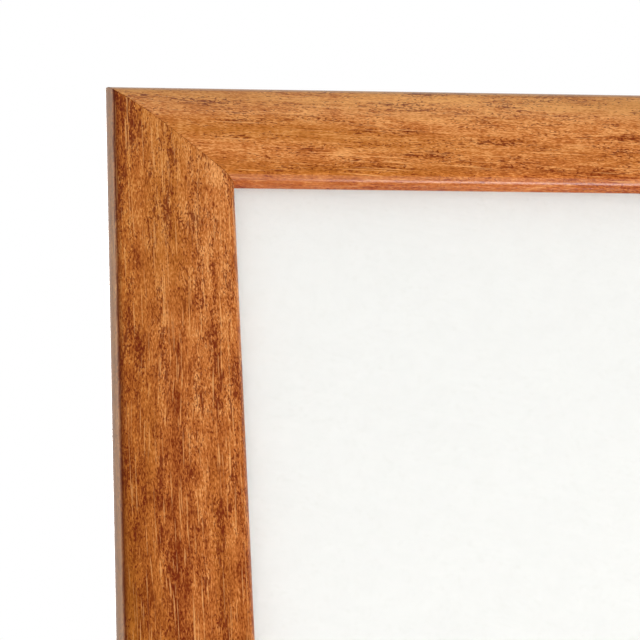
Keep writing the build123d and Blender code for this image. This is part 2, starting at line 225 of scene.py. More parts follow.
def makeHardwood(look):
    material, tree = newMaterial("stainedHardwoodLacquered")
    ranges = look["ranges"]
    own = addNode(tree, "ShaderNodeTexCoord").outputs["Object"]
    local = addNode(tree, "ShaderNodeSeparateXYZ", None, {0: own}).outputs
    rail = {}
    for name in railTraits:
        settings = {"attribute_type": "OBJECT", "attribute_name": name}
        rail[name] = addNode(tree, "ShaderNodeAttribute", settings).outputs

    # the grain slopes across the rail and wanders a little along it
    moved = calcVector(tree, "ADD", own, rail["grainShift"]["Vector"])
    sloped = calcVector(tree, "MULTIPLY_ADD", local["X"], rail["grainSlope"]["Vector"], moved)
    drift = layPatterns(tree, sloped, {"drift": look["drift"]})["drift"]
    sideways = look["wander"] * mm
    grain = calcVector(tree, "MULTIPLY_ADD", drift, (0, sideways, sideways), sloped)
    fields = layPatterns(tree, grain, look["patterns"])

    # one number for how much stain the wood holds, 0.5 on average, with painted light and shade leaning
    # along and across each rail
    lean = calcVector(tree, "DOT_PRODUCT", own, rail["stainLean"]["Vector"])
    held = calc(tree, "ADD", rail["stainDepth"]["Fac"], lean)
    held = calc(tree, "ADD", held, 0.5 - sum(look["stainHeld"].values()) / 2)
    for name, weight in look["stainHeld"].items():
        held = calc(tree, "MULTIPLY_ADD", fields[name], weight, held)
    colour = ramp(tree, held, [(place, linear(look[tone])) for place, tone in look["stainStops"]])

    # the outer third and some stretches lean to a yellower brown, pores are short dark dashes that crowd in
    # the streaks, and cut fibres that took no stain show as light hairlines
    outer = remap(tree, local["Y"], *ranges["golden"])
    colour = mixColours(tree, outer, colour, linear(look["golden"]), "MULTIPLY")
    crowd = remap(tree, fields["density"], *ranges["crowd"])
    crowd = calc(tree, "MULTIPLY_ADD", rail["stainDepth"]["Fac"], look["crowdByDepth"], crowd)
    marks = []
    for name in ("streaks", "specks"):
        over = calc(tree, "SUBTRACT", fields[name], crowd)
        marks.append(remap(tree, over, *ranges[name]))
    pore = calc(tree, "MAXIMUM", *marks)

    # just inside the outer arris the wood is darker, the lip takes a painted shade against the low lamps,
    # the outer side a painted grey sheen of mirrored white, and the sawn back is barely stained
    ragged = calc(tree, "MULTIPLY_ADD", fields["fibres"], look["arrisRagged"] * mm, local["Y"])
    across = calc(tree, "DIVIDE", ragged, look["arrisWidth"] * mm)
    edge = ramp(tree, across, [(place, [depth] * 4) for place, depth in look["arrisProfile"]])
    # painted shade on the lip
    lip = remap(tree, local["Y"], *ranges["lip"])
    layers = {
        "olive": remap(tree, fields["hue"], *ranges["olive"]),
        "pore": pore,
        "hairline": remap(tree, fields["hairlines"], *ranges["hairline"]),
        # painted sheen on the outer side
        "side": remap(tree, local["Y"], *ranges["side"]),
        "arris": calc(tree, "MULTIPLY", edge, rail["arrisStain"]["Fac"]),
        "lip": calc(tree, "MULTIPLY", lip, rail["lipStain"]["Fac"]),
        "bare": remap(tree, local["Z"], *ranges["bare"]),
    }
    for tone, amount in layers.items():
        colour = mixColours(tree, amount, colour, linear(look[tone]))

    height = calc(tree, "MULTIPLY_ADD", pore, look["poreDip"], fields["fibres"])
    inputs = {
        "Base Color": colour,
        "Roughness": remap(tree, fields["fibres"], *ranges["roughness"]),
        "IOR": look["ior"],
        "Specular IOR Level": look["specular"],
        "Coat Weight": look["lacquerCover"],
        "Coat Roughness": look["lacquerRoughness"],
        "Coat IOR": look["lacquerIor"],
        "Normal": bumpNormal(tree, height, look["relief"], look["reliefStrength"]),
    }
    setSurface(tree, principled(tree, inputs))
    return material


# Float glass, cut and seamed: clear faces with a trace of wiping, and a ground rim with a faint green
glassLook = {
    "face": "#fbfdfc",
    "rim": "#cfe3da",
    "rimRoughness": 0.35,
    "ior": 1.52,
    # how squarely a face looks forward before it is no longer rim, and how rough wiping leaves it
    "rimRange": (0.9, 0.99, 1.0, 0.0),
    "smearRange": (0.4, 0.8, 0.0, 0.03),
    "patterns": {"wiping": {"size": (60, 60, 25), "detail": 3.0}},
}


def makeGlass(look):
    material, tree = newMaterial("floatGlassCut")
    coords = addNode(tree, "ShaderNodeTexCoord").outputs
    facing = addNode(tree, "ShaderNodeSeparateXYZ", None, {0: coords["Normal"]}).outputs["Y"]
    rim = remap(tree, calc(tree, "ABSOLUTE", facing), *look["rimRange"])
    wiping = layPatterns(tree, coords["Object"], look["patterns"])["wiping"]
    smear = remap(tree, wiping, *look["smearRange"])
    inputs = {
        "Base Color": mixColours(tree, rim, linear(look["face"]), linear(look["rim"])),
        "Roughness": mixValues(tree, rim, smear, look["rimRoughness"]),
        "IOR": look["ior"],
        "Transmission Weight": 1.0,
    }
    # light falls straight through the pane on to the sheet
    path = addNode(tree, "ShaderNodeLightPath").outputs
    lit = calc(tree, "MAXIMUM", path["Is Shadow Ray"], path["Is Diffuse Ray"])
    clear = addNode(tree, "ShaderNodeBsdfTransparent").outputs[0]
    setSurface(tree, mixShaders(tree, lit, principled(tree, inputs), clear))
    return material


# Bond paper, calendered: an even white with a faint cloud of fibres
paperLook = {
    "name": "bondPaperCalendered",
    "pale": "#fefdfb",
    "dark": "#fbfaf8",
    "fleck": "#f8f7f4",
    "roughness": 0.8,
    "relief": 0.01,
    "patterns": {
        "cloud": {"size": (3.0, 3.0, 3.0), "detail": 5.0, "rough": 0.7},
        "flecks": {"size": (0.8, 0.8, 0.8), "detail": 2.0},
    },
}

# Foam board faced with paper: soft white, slightly uneven where the core foamed
foamLook = {
    "name": "foamBoardPaperFaced",
    "pale": "#f2f1ec",
    "dark": "#e6e4dd",
    "fleck": "#d9d7cf",
    "roughness": 0.8,
    "relief": 0.05,
    "patterns": {
        "cloud": {"size": (5.0, 5.0, 5.0), "detail": 4.0, "rough": 0.6},
        "flecks": {"size": (1.2, 1.2, 1.2), "detail": 2.0},
    },
}

# Hardboard, wet-pressed from wood fibre: a hard brown face clouded by matted fibres, with dark bark flecks
hardboardLook = {
    "name": "hardboardPressed",
    "pale": "#96704e",
    "dark": "#76532f",
    "fleck": "#4e331e",
    "roughness": 0.5,
    "relief": 0.04,
    "patterns": {
        "cloud": {"size": (3.5, 3.5, 3.5), "detail": 6.0, "rough": 0.7},
        "flecks": {"size": (1.5, 1.5, 0.6), "detail": 2.0, "rough": 0.6},
    },
}

# What these three have in common
fibreSheet = {
    "cloudStops": ((0.3, "dark"), (0.7, "pale")),
    "fleckRange": (0.57, 0.72, 0.0, 0.8),
    "reliefStrength": 0.3,
    "ior": 1.5,
    "specular": 0.3,
}


def makeFibreSheet(look):
    material, tree = newMaterial(look["name"])
    own = addNode(tree, "ShaderNodeTexCoord").outputs["Object"]
    fields = layPatterns(tree, own, look["patterns"])
    stops = [(place, linear(look[tone])) for place, tone in fibreSheet["cloudStops"]]
    cloud = ramp(tree, fields["cloud"], stops)
    fleck = remap(tree, fields["flecks"], *fibreSheet["fleckRange"])
    inputs = {
        "Base Color": mixColours(tree, fleck, cloud, linear(look["fleck"])),
        "Roughness": look["roughness"],
        "IOR": fibreSheet["ior"],
        "Specular IOR Level": fibreSheet["specular"],
        "Normal": bumpNormal(tree, fields["cloud"], look["relief"], fibreSheet["reliefStrength"]),
    }
    setSurface(tree, principled(tree, inputs))
    return material


# Stamped steel, zinc plated and passivated: cool silver that clouds a little, with tumbling scratches
zincLook = {
    "name": "steelZincPlated",
    "bright": "#d6d8da",
    "dull": "#b0b5ba",
    "roughness": (0.22, 0.42),
    # real scratches are a few hundredths wide; these are coarse enough to show
    "patterns": {
        "cloud": {"size": (4.0, 4.0, 4.0), "detail": 4.0, "rough": 0.6},
        "scratches": {"size": (3.0, 0.15, 0.3), "detail": 2.0, "rough": 0.6},
    },
}

# Stamped steel, brass plated: warm yellow, duller where the thin plating has tarnished
brassLook = {
    "name": "steelBrassPlated",
    "bright": "#dcb668",
    "dull": "#b88e44",
    "roughness": (0.19, 0.39),
    "patterns": {
        "cloud": {"size": (5.0, 5.0, 5.0), "detail": 4.0, "rough": 0.6},
        "scratches": {"size": (0.3, 0.15, 3.0), "detail": 2.0, "rough": 0.6},
    },
}

# What both platings have in common
plating = {
    "cloudStops": ((0.3, "dull"), (0.62, "bright")),
    "scratchRange": (0.3, 0.7),
    "relief": 0.02,
    "reliefStrength": 0.2,
}


def makePlatedSteel(look):
    material, tree = newMaterial(look["name"])
    own = addNode(tree, "ShaderNodeTexCoord").outputs["Object"]
    fields = layPatterns(tree, own, look["patterns"])
    stops = [(place, linear(look[tone])) for place, tone in plating["cloudStops"]]
    inputs = {
        "Base Color": ramp(tree, fields["cloud"], stops),
        "Metallic": 1.0,
        "Roughness": remap(tree, fields["scratches"], *plating["scratchRange"], *look["roughness"]),
        "Normal": bumpNormal(tree, fields["scratches"], plating["relief"], plating["reliefStrength"]),
    }
    setSurface(tree, principled(tree, inputs))
    return material


hardwood = makeHardwood(hardwoodLook)
glass = makeGlass(glassLook)
paper = makeFibreSheet(paperLook)
foam = makeFibreSheet(foamLook)
hardboard = makeFibreSheet(hardboardLook)
zinc = makePlatedSteel(zincLook)
brass = makePlatedSteel(brassLook)
print("materials made")


# A matrix from three axes and an origin
def placing(x, y, z, origin):
    return Matrix.Translation(origin) @ Matrix((x, y, z)).transposed().to_4x4()


# Smooth shading, but for edges that turn by more than so many degrees
def shade(mesh, sharp=21):
    mesh.shade_smooth()
    mesh.set_sharp_from_angle(angle=math.radians(sharp))


# A mesh object from a shape drawn in millimetres
def meshObject(name, shape, place, material):
    mesh = bpy.data.meshes.new(name)
    bmesh.ops.recalc_face_normals(shape, faces=shape.faces)
    bmesh.ops.scale(shape, vec=(mm, mm, mm), verts=shape.verts)
    shape.to_mesh(mesh)
    shape.free()
    shade(mesh)
    mesh.materials.append(material)
    made = bpy.data.objects.new(name, mesh)
    bpy.context.scene.collection.objects.link(made)
    made.matrix_world = place
    return made


# Cuts a shape out of a mesh object or joins one to it, and leaves no modifier behind
def combine(target, shape, operation):
    other = meshObject("other", shape, target.matrix_world.copy(), target.data.materials[0])
    change = target.modifiers.new("change", "BOOLEAN")
    change.operation = operation
    change.solver = "EXACT"
    change.object = other
    bpy.context.view_layer.update()
    result = bpy.data.meshes.new_from_object(target.evaluated_get(bpy.context.evaluated_depsgraph_get()))
    target.modifiers.clear()
    target.data = result
    shade(result)
    bpy.data.objects.remove(other)


# A piece rides on its body and stands for CAD nodes, which it hides
def settle(piece, body, slot, *stands):
    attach(piece, body)
    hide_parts(*stands)
    return piece


# The moulding's section in millimetres, as in the CAD, with finer arcs and eased edges at the mitres
railShape = {
    "width": 25.4,
    "depth": 14.4,
    "rabbetWidth": 6.4,
    "lipHeight": 3.9,
    "crownFromSide": 12.5,
    "outerDrop": 2.4,
    "innerDrop": 0.6,
    "outerRound": 2.0,
    "innerRound": 2.8,
    "backEase": 0.5,
    "lipEase": 0.2,
    "mitreGap": 0.08,
    "mitreEase": 0.06,
    "crownSteps": 14,
    "roundSteps": 10,
    "vNailLeg": 4.5,
    "vNailGauge": 0.5,
    "vNailDepth": 10.4,
    "vNailsPerCorner": 2,
    "screwHole": (1.65, 9.2),
    "nailHole": (0.85, 8.9),
    "holeSteps": 24,
}
# each rail's own run of grain: its shift and slope, how deep the stain is, a painted light and shade that
# leans along and across the rail, how dark it is just inside the outer arris, and the lip's painted shade
railRuns = {
    "top": {
        "inward": Vector((0, 0, -1)),
        "grainShift": (0.31, 0.0, 0.02),
        "grainSlope": (0.0, 0.05, 0.0),
        "stainDepth": -0.33,
        "stainLean": (0.0, 15.5, 0.0),
        "arrisStain": 0.15,
        "lipStain": 0.4,
    },
    "left": {
        "inward": Vector((1, 0, 0)),
        "grainShift": (1.73, 0.0, 0.11),
        "grainSlope": (0.0, 0.0, 0.0),
        "stainDepth": 0.27,
        "stainLean": (1.5, -7.0, 0.0),
        "arrisStain": 1.0,
        "lipStain": 0.0,
    },
    "bottom": {
        "inward": Vector((0, 0, 1)),
        "grainShift": (2.9, 0.03, 0.07),
        "grainSlope": (0.0, -0.03, 0.0),
        "stainDepth": -0.04,
        "stainLean": (0.3, 3.0, 0.0),
        "arrisStain": 0.5,
        "lipStain": 0.3,
    },
    "right": {
        "inward": Vector((-1, 0, 0)),
        "grainShift": (4.4, 0.05, 0.17),
        "grainSlope": (0.0, 0.02, 0.0),
        "stainDepth": 0.06,
        "stainLean": (-0.6, 1.0, 0.0),
        "arrisStain": 0.8,
        "lipStain": 0.1,
    },
}


# Faces between rings of points, each ring closed
def bridge(shape, rings):
    for near, far in zip(rings, rings[1:]):
        for i in range(len(near)):
            shape.faces.new((near[i - 1], near[i], far[i], far[i - 1]))


# Half of the face, from the crown down to a side: a wide arc that runs into a small rounding
def faceHalf(shape, towards, run, drop, rounding):
    crownRadius = (run ** 2 + drop ** 2) / (2 * drop)
    centre = Vector((shape["crownFromSide"], shape["depth"] - crownRadius))
    turn = math.asin((run - rounding) / (crownRadius - rounding))
    smallCentre = centre + Vector((towards * math.sin(turn), math.cos(turn))) * (crownRadius - rounding)
    points = []
    for step in range(shape["crownSteps"]):
        angle = turn * step / shape["crownSteps"]
        points.append(centre + Vector((towards * math.sin(angle), math.cos(angle))) * crownRadius)
    for step in range(shape["roundSteps"] + 1):
        angle = turn + (math.pi / 2 - turn) * step / shape["roundSteps"]
        points.append(smallCentre + Vector((towards * math.sin(angle), math.cos(angle))) * rounding)
    return points


def railSection(shape):
    width = shape["width"]
    lipBottom = shape["depth"] - shape["lipHeight"]
    backWidth = width - shape["rabbetWidth"]
    run = shape["crownFromSide"]
    outer = faceHalf(shape, -1, run, shape["outerDrop"], shape["outerRound"])
    inner = faceHalf(shape, 1, width - run, shape["innerDrop"], shape["innerRound"])
    start = [Vector((shape["backEase"], 0)), Vector((0, shape["backEase"]))]
    lip = [Vector((width, lipBottom + shape["lipEase"])), Vector((width - shape["lipEase"], lipBottom))]
    rabbet = [Vector((backWidth, lipBottom)), Vector((backWidth, 0))]
    return start + outer[::-1] + inner[1:] + lip + rabbet


mostStretch = 2  # how many times the distance a sharp corner may be drawn in


# A closed outline drawn in by a distance, for the eased edges of mitres and plates
def drawnIn(points, distance):
    moved = []
    for before, here, after in zip(points[-1:] + points[:-1], points, points[1:] + points[:1]):
        first = (here - before).normalized()
        second = (after - here).normalized()
        side = Vector((first.y + second.y, -first.x - second.x)).normalized()
        stretch = 1 / max(1 / mostStretch, math.sqrt((1 + first.dot(second)) / 2))
        moved.append(here + side * distance * stretch)
    return moved


# A rail in its own frame: x along it, y in from the outer side, z from the back to the front
def railMesh(shape, length):
    section = railSection(shape)
    inset = drawnIn(section, shape["mitreEase"])
    gap = shape["mitreGap"] / math.sqrt(2)
    rail = bmesh.new()
    rings = []
    for end, points, short in ((-1, inset, 0), (-1, section, 1), (1, section, 1), (1, inset, 0)):
        ring = []
        for point in points:
            reach = length / 2 - point.x - gap - short * shape["mitreEase"]
            ring.append(rail.verts.new((end * reach, point.x, point.y)))
        rings.append(ring)
    bridge(rail, rings)
    rail.faces.new(rings[0])
    rail.faces.new(rings[-1])
    return rail


# A plain block between two corners, in millimetres, added to a cutter
def addBlock(shape, low, high):
    corners = [
        shape.verts.new((x, y, z))
        for x in (low[0], high[0])
        for y in (low[1], high[1])
        for z in (low[2], high[2])
    ]
    for face in ((0, 1, 3, 2), (4, 6, 7, 5), (0, 4, 5, 1), (2, 3, 7, 6), (0, 2, 6, 4), (1, 5, 7, 3)):
        shape.faces.new([corners[i] for i in face])


# A shape turned round z from (radius, height) points, which start and end on the axis
def addTurned(shape, points, steps, place=Matrix()):
    rings = []
    for radius, height in points:
        around = steps if radius > 0 else 1
        angles = [2 * math.pi * step / steps for step in range(around)]
        corners = [Vector((radius * math.cos(angle), radius * math.sin(angle), height)) for angle in angles]
        rings.append([shape.verts.new(place @ corner) for corner in corners])
    for near, far in zip(rings, rings[1:]):
        for i in range(steps):
            corners = (near[i - 1 if len(near) > 1 else 0], near[i % len(near)])
            corners += (far[i % len(far)], far[i - 1 if len(far) > 1 else 0])
            shape.faces.new(list(dict.fromkeys(corners)))


# The rails' outer corners and backs come from the CAD nodes
frameLow = Vector((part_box("left_rail")[0].x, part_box("left_rail")[0].y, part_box("bottom_rail")[0].z))
frameHigh = Vector((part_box("right_rail")[1].x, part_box("left_rail")[1].y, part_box("top_rail")[1].z))
middle = (frameLow + frameHigh) / 2
forward = Vector((0, -1, 0))
outward = Vector((0, 1, 0))
hangerNailOffset = 19.25  # from a hanger's middle, along it
overrun = 1  # how far a cutter stands out of what it cuts, in millimetres
nailPlaces = []
for name, along in (("sawtooth_hanger_top", Vector((1, 0, 0))), ("sawtooth_hanger_side", Vector((0, 0, 1)))):
    low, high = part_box(name)
    for end in (-1, 1):
        nailPlaces.append((low + high) / 2 + along * end * hangerNailOffset * mm)


# Everything that is sunk into a rail from behind, as one cutter in the rail's own frame
def railCutter(shape, length, holes):
    cutter = bmesh.new()
    backWidth = shape["width"] - shape["rabbetWidth"]
    for row in range(1, shape["vNailsPerCorner"] + 1):
        apex = row * backWidth / (shape["vNailsPerCorner"] + 1)
        for end in (-1, 1):
            near = end * (length / 2 - apex)
            along = sorted((near, near + end * shape["vNailGauge"]))
            low = (along[0], apex - shape["vNailLeg"], -overrun)
            addBlock(cutter, low, (along[1], apex, shape["vNailDepth"]))
    for place, (radius, depth) in holes:
        points = ((0, -overrun), (radius, -overrun), (radius, depth), (0, depth))
        addTurned(cutter, points, shape["holeSteps"], Matrix.Translation((place.x, place.y, 0)))
    return cutter


# A rail's length, and its own frame's place in the world
def railPlace(inward):
    along = inward.cross(forward)
    half = Vector([size / 2 for size in frameHigh - frameLow])
    origin = middle - Vector([half[i] * inward[i] for i in range(3)])
    origin.y = frameHigh.y
    return 2 * abs(half.dot(along)) / mm, placing(along, inward, forward, origin)


for side, run in railRuns.items():
    length, place = railPlace(run["inward"])
    rail = meshObject(f"{side}Rail", railMesh(railShape, length), place, hardwood)
    toRail = place.inverted()
    holes = []
    for body, pivot in pivots.items():
        if body.startswith("button"):
            holes.append((toRail @ pivot / mm, railShape["screwHole"]))
    for hanger in nailPlaces:
        holes.append((toRail @ hanger / mm, railShape["nailHole"]))
    inRail = [hole for hole in holes if 0 < hole[0].y < railShape["width"]]
    combine(rail, railCutter(railShape, length, inRail), "DIFFERENCE")
    for name in railTraits:
        rail[name] = run[name]
    settle(rail, "frame", "stained_hardwood", f"{side}_rail")
print("rails moulded")


# Points along an arc, between angles in degrees
def arcPoints(centre, radius, start, end, steps):
    angles = [math.radians(start + (end - start) * step / steps) for step in range(steps + 1)]
    return [Vector(centre) + Vector((math.cos(angle), math.sin(angle))) * radius for angle in angles]


# A turned shape's (radius, height) points over a dome, from its rim up to the axis
def domePoints(radius, low, high, steps):
    angles = [math.pi / 2 * step / steps for step in range(steps)]
    rise = [(radius * math.cos(angle), low + (high - low) * math.sin(angle)) for angle in angles]
    return rise + [(0, high)]


# A plate with eased edges from closed outlines: its rim runs clockwise and its holes the other way
def addPlate(shape, outlines, low, high, ease, place=Matrix()):
    lower = []
    upper = []
    for outline in outlines:
        inset = drawnIn(outline, ease)
        rings = []
        for points, height in ((inset, low), (outline, low + ease), (outline, high - ease), (inset, high)):
            rings.append([shape.verts.new(place @ Vector((x, y, height))) for x, y in points])
        bridge(shape, rings)
        for rim, ring in ((lower, rings[0]), (upper, rings[-1])):
            rim += [shape.edges.get((ring[i - 1], ring[i])) for i in range(len(ring))]
    for rim in (lower, upper):
        bmesh.ops.triangle_fill(shape, use_beauty=True, edges=rim)


# Bends a plate: it is cut across at each station along x, and each point rises by what rise(x) gives
def bendPlate(shape, stations, rise):
    for station in stations:
        parts = shape.verts[:] + shape.edges[:] + shape.faces[:]
        bmesh.ops.bisect_plane(shape, geom=parts, plane_co=(station, 0, 0), plane_no=(1, 0, 0))
    for point in shape.verts:
        point.co.z += rise(point.co.x)


# A frame on the back of the object, with its x axis along the given direction and its z axis outwards
def backPlace(x, y, z, along):
    return placing(along, outward.cross(along), outward, Vector((x, y, z)))


# Turn buttons: a strip stamped round its pivot screw, with the tongue's tip turned up for a finger
buttonShape = {
    "thickness": 1.2,
    "gap": 0.1,
    "baseRadius": 5.5,
    "tipRadius": 4.0,
    "reach": 19.5,
    "tipRun": 4.0,
    "tipLift": 1.0,
    "bendHalf": 1.2,
    "bendSteps": 8,
    "hole": 1.65,
    "ease": 0.18,
    "arcSteps": 18,
}
buttonSides = {
    "top_left": "top",
    "top_right": "top",
    "bottom_left": "bottom",
    "bottom_right": "bottom",
    "left": "left",
    "right": "right",
}


def buttonMesh(shape):
    tip = shape["reach"] - shape["tipRadius"]
    tangent = math.degrees(math.acos((shape["baseRadius"] - shape["tipRadius"]) / tip))
    rim = arcPoints((tip, 0), shape["tipRadius"], tangent, -tangent, shape["arcSteps"])
    rim += arcPoints((0, 0), shape["baseRadius"], -tangent, tangent - 360, shape["arcSteps"])
    hole = arcPoints((0, 0), shape["hole"], 0, 360, shape["arcSteps"])[:-1]
    button = bmesh.new()
    addPlate(button, (rim, hole), shape["gap"], shape["gap"] + shape["thickness"], shape["ease"])
    bend = shape["reach"] - shape["tipRun"]
    half = shape["bendHalf"]
    slope = shape["tipLift"] / shape["tipRun"]

    def rise(x):
        if x < bend - half:
            return 0
        if x > bend + half:
            return slope * (x - bend)
        return slope * (x - bend + half) ** 2 / (4 * half)

    steps = shape["bendSteps"]
    bendPlate(button, [bend - half + 2 * half * step / steps for step in range(steps + 1)], rise)
    return button


for side, rail in buttonSides.items():
    pivot = pivots[f"button_{side}"]
    place = backPlace(pivot.x, frameHigh.y, pivot.z, railRuns[rail]["inward"])
    first, *rest = side.split("_")
    name = first + "".join(word.title() for word in rest) + "TurnButton"
    button = meshObject(name, buttonMesh(buttonShape), place, zinc)
    settle(button, f"button_{side}", "zinc_plated_steel", f"turn_button_{side}")

# Their screws: pan heads with a cross recess, each driven home at its own angle
screwShape = {
    "radius": 1.6,
    "length": 10.0,
    "point": 2.5,
    "seat": 1.4,
    "headRadius": 3.4,
    "rim": 0.45,
    "headHeight": 2.2,
    "recessSpan": 3.8,
    "recessWidth": 0.9,
    "recessDepth": 1.2,
    "recessEase": 0.12,
    "turns": (12, 71, 35, 58, 4, 80),
    "steps": 32,
    "domeSteps": 8,
}


def crossOutline(span, width):
    far = span / 2
    near = width / 2
    arm = [(near, near), (far, near), (far, -near)]
    points = [Vector(point) for point in arm]
    for quarter in range(1, 4):
        turn = Matrix.Rotation(-math.pi / 2 * quarter, 2)
        points += [turn @ Vector(point) for point in arm]
    return points


def screwMeshes(shape):
    screws = bmesh.new()
    recesses = bmesh.new()
    seat = shape["seat"]
    top = seat + shape["headHeight"]
    points = [(0, seat - shape["length"]), (shape["radius"], seat - shape["length"] + shape["point"])]
    points += [(shape["radius"], seat), (shape["headRadius"], seat)]
    points += domePoints(shape["headRadius"], seat + shape["rim"], top, shape["domeSteps"])
    for side, turn in zip(buttonSides, shape["turns"]):
        pivot = pivots[f"button_{side}"] / mm
        place = backPlace(pivot.x, frameHigh.y / mm, pivot.z, Vector((1, 0, 0)))
        addTurned(screws, points, shape["steps"], place)
        driven = place @ Matrix.Rotation(math.radians(turn), 4, "Z")
        cross = crossOutline(shape["recessSpan"], shape["recessWidth"])
        floor = top - shape["recessDepth"]
        addPlate(recesses, [cross], floor, top + overrun, shape["recessEase"], driven)
    return screws, recesses


screws, recesses = screwMeshes(screwShape)
buttonScrews = meshObject("turnButtonScrews", screws, Matrix(), zinc)
combine(buttonScrews, recesses, "DIFFERENCE")
settle(buttonScrews, "frame", "zinc_plated_steel", "turn_button_screws")

# Sawtooth hangers: a brassed strip pressed up into a bridge, with its teeth towards the middle of the frame
hangerShape = {
    "length": 45.0,
    "width": 9.0,
    "gauge": 0.9,
    "bridge": 26.0,
    "ramp": 3.0,
    "lift": 2.2,
    "cornerRadius": 2.0,
    "teeth": 7,
    "toothPitch": 3.2,
    "toothDepth": 2.0,
    "nailHole": 0.85,
    "ease": 0.12,
    "arcSteps": 6,
    "rampSteps": 10,
}
hangers = {"top": "sawtooth_hanger_top", "left": "sawtooth_hanger_side"}


def hangerMesh(shape):
    far = shape["length"] / 2
    half = shape["width"] / 2
    radius = shape["cornerRadius"]
    rim = []
    for tooth in range(shape["teeth"]):
        middleOfTooth = (tooth - (shape["teeth"] - 1) / 2) * shape["toothPitch"]
        rim.append(Vector((middleOfTooth - shape["toothPitch"] / 2, half)))
        rim.append(Vector((middleOfTooth, half - shape["toothDepth"])))
    rim.append(Vector((shape["teeth"] * shape["toothPitch"] / 2, half)))
    for x, y, start in ((1, 1, 90), (1, -1, 0), (-1, -1, -90), (-1, 1, -180)):
        centre = (x * (far - radius), y * (half - radius))
        rim += arcPoints(centre, radius, start, start - 90, shape["arcSteps"])
    holes = []
    for end in (-1, 1):
        around = arcPoints((end * hangerNailOffset, 0), shape["nailHole"], 0, 360, 3 * shape["arcSteps"])
        holes.append(around[:-1])
    hanger = bmesh.new()
    addPlate(hanger, [rim] + holes, 0, shape["gauge"], shape["ease"])
    foot = shape["bridge"] / 2 + shape["ramp"]

    def rise(x):
        share = min(1, max(0, (foot - abs(x)) / shape["ramp"]))
        return shape["lift"] * share * share * (3 - 2 * share)

    steps = [foot - shape["ramp"] * step / shape["rampSteps"] for step in range(shape["rampSteps"] + 1)]
    bendPlate(hanger, steps + [-step for step in steps], rise)
    return hanger


for side, node in hangers.items():
    inward = railRuns[side]["inward"]
    low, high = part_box(node)
    centre = (low + high) / 2
    place = backPlace(centre.x, frameHigh.y, centre.z, inward.cross(outward))
    hanger = meshObject(f"{side}SawtoothHanger", hangerMesh(hangerShape), place, brass)
    settle(hanger, "frame", "brass_plated_steel", node)

# Their nails: domed heads on shanks that go through the hangers' ends into the rails
nailShape = {
    "radius": 0.8,
    "length": 8.5,
    "point": 2.0,
    "headRadius": 2.0,
    "rim": 0.2,
    "headHeight": 0.8,
    "steps": 28,
    "domeSteps": 6,
}


def nailMesh(shape, seat):
    nails = bmesh.new()
    points = [(0, -shape["length"]), (shape["radius"], shape["point"] - shape["length"])]
    points += [(shape["radius"], 0), (shape["headRadius"], 0)]
    points += domePoints(shape["headRadius"], shape["rim"], shape["headHeight"], shape["domeSteps"])
    for nail in nailPlaces:
        place = backPlace(nail.x / mm, seat, nail.z / mm, Vector((1, 0, 0)))
        addTurned(nails, points, shape["steps"], place)
    return nails


nailSeat = frameHigh.y / mm + hangerShape["gauge"]
hangerNails = meshObject("hangerNails", nailMesh(nailShape, nailSeat), Matrix(), brass)
settle(hangerNails, "frame", "brass_plated_steel", "hanger_nails")

# The easel's hinge: two leaves whose knuckles are rolled from the same sheet round a headed pin
hingeShape = {
    "width": 44.0,
    "gauge": 0.8,
    "standoff": 2.1,
    "knuckleRadius": 1.9,
    "rolled": 285,
    "rollSteps": 30,
    "tightensOver": 0.25,
    "cornerRadius": 3.0,
    "cornerSteps": 8,
    "rivetHole": 1.45,
    "rivetSetback": 15.0,
    "ease": 0.12,
}
hingeLeaves = {
    "fixed": {
        "body": "frame",
        "length": 24.0,
        "up": 1,
        "rivets": 14.0,
        "knuckles": ((-22.0, -7.7), (7.7, 22.0)),
    },
    "moving": {
        "body": "easel",
        "length": 26.0,
        "up": -1,
        "rivets": 11.0,
        "knuckles": ((-7.5, 7.5),),
    },
}
pinMiddle = pivots["easel"]


# A leaf in its own frame: x along the pin, y away from it, z towards the board that the leaf lies on
def leafMesh(shape, leaf):
    half = shape["width"] / 2
    radius = shape["cornerRadius"]
    rim = [Vector((half, shape["standoff"])), Vector((-half, shape["standoff"]))]
    rim += arcPoints((radius - half, leaf["length"] - radius), radius, 180, 90, shape["cornerSteps"])
    rim += arcPoints((half - radius, leaf["length"] - radius), radius, 90, 0, shape["cornerSteps"])
    holes = []
    for end in (-1, 1):
        centre = (end * leaf["rivets"], shape["rivetSetback"])
        holes.append(arcPoints(centre, shape["rivetHole"], 0, 360, 3 * shape["cornerSteps"])[:-1])
    flat = bmesh.new()
    addPlate(flat, [rim] + holes, shape["standoff"] - shape["gauge"], shape["standoff"], shape["ease"])
    return flat


# Its knuckles: the sheet runs on past the leaf's edge and curls round the pin, a little tighter as it goes
def knuckleMesh(shape, leaf):
    outer = [Vector((2 * shape["standoff"], shape["standoff"]))]
    inner = [Vector((2 * shape["standoff"], shape["standoff"] - shape["gauge"]))]
    for step in range(shape["rollSteps"] + 1):
        turn = math.radians(shape["rolled"]) * step / shape["rollSteps"]
        tighter = min(1, step / shape["rollSteps"] / shape["tightensOver"])
        reach = shape["standoff"] + (shape["knuckleRadius"] - shape["standoff"]) * tighter
        towards = Vector((-math.sin(turn), math.cos(turn)))
        outer.append(towards * reach)
        inner.append(towards * (reach - shape["gauge"]))
    section = outer + inner[::-1]
    knuckles = bmesh.new()
    for ends in leaf["knuckles"]:
        rings = []
        for x in ends:
            rings.append([knuckles.verts.new((x, point.x, point.y)) for point in section])
        bridge(knuckles, rings)
        for ring in rings:
            knuckles.faces.new(ring)
    return knuckles


for name, leaf in hingeLeaves.items():
    away = Vector((0, 0, leaf["up"]))
    along = Vector((1, 0, 0))
    place = placing(along, away, along.cross(away), pinMiddle)
    piece = meshObject(f"{name}HingeLeaf", leafMesh(hingeShape, leaf), place, zinc)
    combine(piece, knuckleMesh(hingeShape, leaf), "UNION")
    settle(piece, leaf["body"], "zinc_plated_steel", f"easel_hinge_{name}_leaf")

